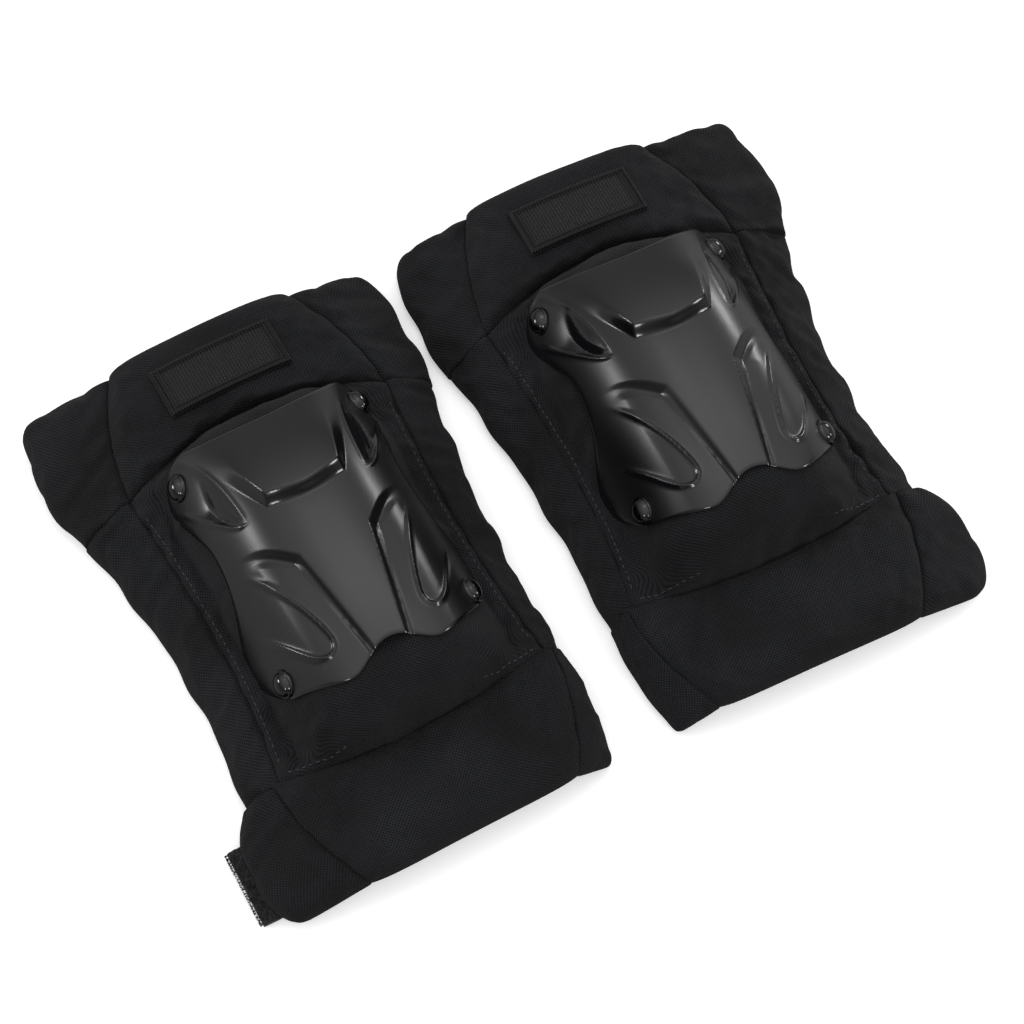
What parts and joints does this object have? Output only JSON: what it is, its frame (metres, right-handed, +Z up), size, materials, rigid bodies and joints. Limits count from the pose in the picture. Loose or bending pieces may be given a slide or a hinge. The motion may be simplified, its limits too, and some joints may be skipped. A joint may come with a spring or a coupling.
{
  "type": "knee guards",
  "caption": "Pair of padded knee guards for riding: riveted moulded caps, quilted thigh, knee and shin pads, folding side wings and elastic straps with hook tabs.",
  "frame": {"origin": "on the surface the pair stands on, under the middle of the pair's box", "axes": "+X across the pair from the left guard to the right one, +Y up the leg from shin to thigh, +Z up through the caps"},
  "size_m": [0.384, 0.2828, 0.0845],
  "materials": {
    "cover_cloth": "woven polyester, fine diagonal weave, matte with a soft sheen",
    "lining_cloth": "brushed knit lining, matte",
    "pad_foam": "closed-cell foam, matte",
    "moulded_plastic": "moulded satin black",
    "rivet_plastic": "gloss black",
    "patch_rubber": "moulded matte, raised grid",
    "strap_elastic": "ribbed woven elastic",
    "hook_and_loop": "hook and loop pile"
  },
  "bodies": {
    "left_knee": {"left_shell": "moulded_plastic", "left_rivets": "rivet_plastic", "left_rivet_washers": "rivet_plastic", "left_knee_cover": "cover_cloth", "left_knee_foam": "pad_foam", "left_knee_lining": "lining_cloth", "left_knee_cushion": "lining_cloth"},
    "left_thigh": {"left_thigh_cover": "cover_cloth", "left_thigh_foam": "pad_foam", "left_thigh_lining": "lining_cloth", "left_name_patch": "patch_rubber"},
    "left_shin": {"left_shin_cover": "cover_cloth", "left_shin_foam": "pad_foam", "left_shin_lining": "lining_cloth"},
    "left_thigh_outer": {"left_thigh_outer_wing": "cover_cloth"},
    "left_thigh_inner": {"left_thigh_inner_wing": "cover_cloth", "left_upper_loop_patch": "hook_and_loop"},
    "left_knee_outer": {"left_knee_outer_wing": "cover_cloth"},
    "left_knee_inner": {"left_knee_inner_wing": "cover_cloth"},
    "left_shin_outer": {"left_shin_outer_wing": "cover_cloth"},
    "left_shin_inner": {"left_shin_inner_wing": "cover_cloth", "left_lower_loop_patch": "hook_and_loop"},
    "left_upper_root": {"left_upper_strap_root": "strap_elastic"},
    "left_upper_run": {"left_upper_strap_run": "strap_elastic", "left_upper_hook_tab": "hook_and_loop"},
    "left_lower_root": {"left_lower_strap_root": "strap_elastic"},
    "left_lower_run": {"left_lower_strap_run": "strap_elastic", "left_lower_hook_tab": "hook_and_loop"},
    "right_knee": {"right_shell": "moulded_plastic", "right_rivets": "rivet_plastic", "right_rivet_washers": "rivet_plastic", "right_knee_cover": "cover_cloth", "right_knee_foam": "pad_foam", "right_knee_lining": "lining_cloth", "right_knee_cushion": "lining_cloth"},
    "right_thigh": {"right_thigh_cover": "cover_cloth", "right_thigh_foam": "pad_foam", "right_thigh_lining": "lining_cloth", "right_name_patch": "patch_rubber"},
    "right_shin": {"right_shin_cover": "cover_cloth", "right_shin_foam": "pad_foam", "right_shin_lining": "lining_cloth"},
    "right_thigh_outer": {"right_thigh_outer_wing": "cover_cloth"},
    "right_thigh_inner": {"right_thigh_inner_wing": "cover_cloth", "right_upper_loop_patch": "hook_and_loop"},
    "right_knee_outer": {"right_knee_outer_wing": "cover_cloth"},
    "right_knee_inner": {"right_knee_inner_wing": "cover_cloth"},
    "right_shin_outer": {"right_shin_outer_wing": "cover_cloth"},
    "right_shin_inner": {"right_shin_inner_wing": "cover_cloth", "right_lower_loop_patch": "hook_and_loop"},
    "right_upper_root": {"right_upper_strap_root": "strap_elastic"},
    "right_upper_run": {"right_upper_strap_run": "strap_elastic", "right_upper_hook_tab": "hook_and_loop"},
    "right_lower_root": {"right_lower_strap_root": "strap_elastic"},
    "right_lower_run": {"right_lower_strap_run": "strap_elastic", "right_lower_hook_tab": "hook_and_loop"}
  },
  "joints": [
    {"name": "left_thigh_flex", "type": "hinge", "parent": "left_knee", "child": "left_thigh", "pos_m": [-0.09281, 0.07807, 0.014], "axis": [0.9996, 0.0297, 0], "range_deg": [-30, 8], "stiffness_Nm_per_rad": 3},
    {"name": "left_shin_flex", "type": "hinge", "parent": "left_knee", "child": "left_shin", "pos_m": [-0.08789, -0.08786, 0.014], "axis": [-0.9996, -0.0297, 0], "range_deg": [-30, 8], "stiffness_Nm_per_rad": 3},
    {"name": "left_thigh_outer_wing_fold", "type": "hinge", "parent": "left_thigh", "child": "left_thigh_outer", "pos_m": [-0.14918, 0.1029, 0.018], "axis": [-0.268, -0.9634, 0], "range_deg": [-20, 27], "stiffness_Nm_per_rad": 1},
    {"name": "left_thigh_inner_wing_fold", "type": "hinge", "parent": "left_thigh", "child": "left_thigh_inner", "pos_m": [-0.03803, 0.1062, 0.018], "axis": [-0.3247, 0.9458, 0], "range_deg": [-8, 27], "stiffness_Nm_per_rad": 1},
    {"name": "left_knee_outer_wing_fold", "type": "hinge", "parent": "left_knee", "child": "left_knee_outer", "pos_m": [-0.15128, -0.00821, 0.018], "axis": [0.0297, -0.9996, 0], "range_deg": [-20, 27], "stiffness_Nm_per_rad": 1},
    {"name": "left_knee_inner_wing_fold", "type": "hinge", "parent": "left_knee", "child": "left_knee_inner", "pos_m": [-0.02933, -0.00459, 0.018], "axis": [-0.0297, 0.9996, 0], "range_deg": [-8, 27], "stiffness_Nm_per_rad": 1},
    {"name": "left_shin_outer_wing_fold", "type": "hinge", "parent": "left_shin", "child": "left_shin_outer", "pos_m": [-0.14859, -0.11567, 0.018], "axis": [0.3787, -0.9255, 0], "range_deg": [-20, 27], "stiffness_Nm_per_rad": 1},
    {"name": "left_shin_inner_wing_fold", "type": "hinge", "parent": "left_shin", "child": "left_shin_inner", "pos_m": [-0.02565, -0.11202, 0.018], "axis": [0.3232, 0.9463, 0], "range_deg": [-8, 27], "stiffness_Nm_per_rad": 1},
    {"name": "left_upper_strap_swing", "type": "hinge", "parent": "left_thigh_outer", "child": "left_upper_root", "pos_m": [-0.18978, 0.1092, 0.0012], "axis": [-0.0297, 0.9996, 0], "range_deg": [0, 180]},
    {"name": "left_upper_strap_bend", "type": "hinge", "parent": "left_upper_root", "child": "left_upper_run", "pos_m": [-0.14707, 0.11047, 0.0012], "axis": [-0.268, -0.9634, 0], "range_deg": [-27, 20]},
    {"name": "left_lower_strap_swing", "type": "hinge", "parent": "left_shin_outer", "child": "left_lower_root", "pos_m": [-0.18607, -0.11679, 0.0012], "axis": [-0.0297, 0.9996, 0], "range_deg": [0, 180]},
    {"name": "left_lower_strap_bend", "type": "hinge", "parent": "left_lower_root", "child": "left_lower_run", "pos_m": [-0.14859, -0.11567, 0.0012], "axis": [0.3787, -0.9255, 0], "range_deg": [-27, 20]},
    {"name": "right_thigh_flex", "type": "hinge", "parent": "right_knee", "child": "right_thigh", "pos_m": [0.09281, 0.07807, 0.014], "axis": [0.9996, -0.0297, 0], "range_deg": [-30, 8], "stiffness_Nm_per_rad": 3},
    {"name": "right_shin_flex", "type": "hinge", "parent": "right_knee", "child": "right_shin", "pos_m": [0.08789, -0.08786, 0.014], "axis": [-0.9996, 0.0297, 0], "range_deg": [-30, 8], "stiffness_Nm_per_rad": 3},
    {"name": "right_thigh_outer_wing_fold", "type": "hinge", "parent": "right_thigh", "child": "right_thigh_outer", "pos_m": [0.14918, 0.1029, 0.018], "axis": [-0.268, 0.9634, 0], "range_deg": [-20, 27], "stiffness_Nm_per_rad": 1},
    {"name": "right_thigh_inner_wing_fold", "type": "hinge", "parent": "right_thigh", "child": "right_thigh_inner", "pos_m": [0.03803, 0.1062, 0.018], "axis": [-0.3247, -0.9458, 0], "range_deg": [-8, 27], "stiffness_Nm_per_rad": 1},
    {"name": "right_knee_outer_wing_fold", "type": "hinge", "parent": "right_knee", "child": "right_knee_outer", "pos_m": [0.15128, -0.00821, 0.018], "axis": [0.0297, 0.9996, 0], "range_deg": [-20, 27], "stiffness_Nm_per_rad": 1},
    {"name": "right_knee_inner_wing_fold", "type": "hinge", "parent": "right_knee", "child": "right_knee_inner", "pos_m": [0.02933, -0.00459, 0.018], "axis": [-0.0297, -0.9996, 0], "range_deg": [-8, 27], "stiffness_Nm_per_rad": 1},
    {"name": "right_shin_outer_wing_fold", "type": "hinge", "parent": "right_shin", "child": "right_shin_outer", "pos_m": [0.14859, -0.11567, 0.018], "axis": [0.3787, 0.9255, 0], "range_deg": [-20, 27], "stiffness_Nm_per_rad": 1},
    {"name": "right_shin_inner_wing_fold", "type": "hinge", "parent": "right_shin", "child": "right_shin_inner", "pos_m": [0.02565, -0.11202, 0.018], "axis": [0.3232, -0.9463, 0], "range_deg": [-8, 27], "stiffness_Nm_per_rad": 1},
    {"name": "right_upper_strap_swing", "type": "hinge", "parent": "right_thigh_outer", "child": "right_upper_root", "pos_m": [0.18978, 0.1092, 0.0012], "axis": [-0.0297, -0.9996, 0], "range_deg": [0, 180]},
    {"name": "right_upper_strap_bend", "type": "hinge", "parent": "right_upper_root", "child": "right_upper_run", "pos_m": [0.14707, 0.11047, 0.0012], "axis": [-0.268, 0.9634, 0], "range_deg": [-27, 20]},
    {"name": "right_lower_strap_swing", "type": "hinge", "parent": "right_shin_outer", "child": "right_lower_root", "pos_m": [0.17908, -0.11658, 0.0012], "axis": [-0.0297, -0.9996, 0], "range_deg": [0, 180]},
    {"name": "right_lower_strap_bend", "type": "hinge", "parent": "right_lower_root", "child": "right_lower_run", "pos_m": [0.14859, -0.11567, 0.0012], "axis": [0.3787, 0.9255, 0], "range_deg": [-27, 20]},
    {"name": "pair_slide", "type": "slide", "parent": "left_knee", "child": "right_knee", "axis": [1, 0, 0], "range_m": [0, 0.25]}
  ],
  "couplings": [
    {"joint": "left_upper_strap_bend", "follows": "left_thigh_outer_wing_fold", "ratio": -1},
    {"joint": "left_lower_strap_bend", "follows": "left_shin_outer_wing_fold", "ratio": -1},
    {"joint": "right_upper_strap_bend", "follows": "right_thigh_outer_wing_fold", "ratio": -1},
    {"joint": "right_lower_strap_bend", "follows": "right_shin_outer_wing_fold", "ratio": -1}
  ]
}
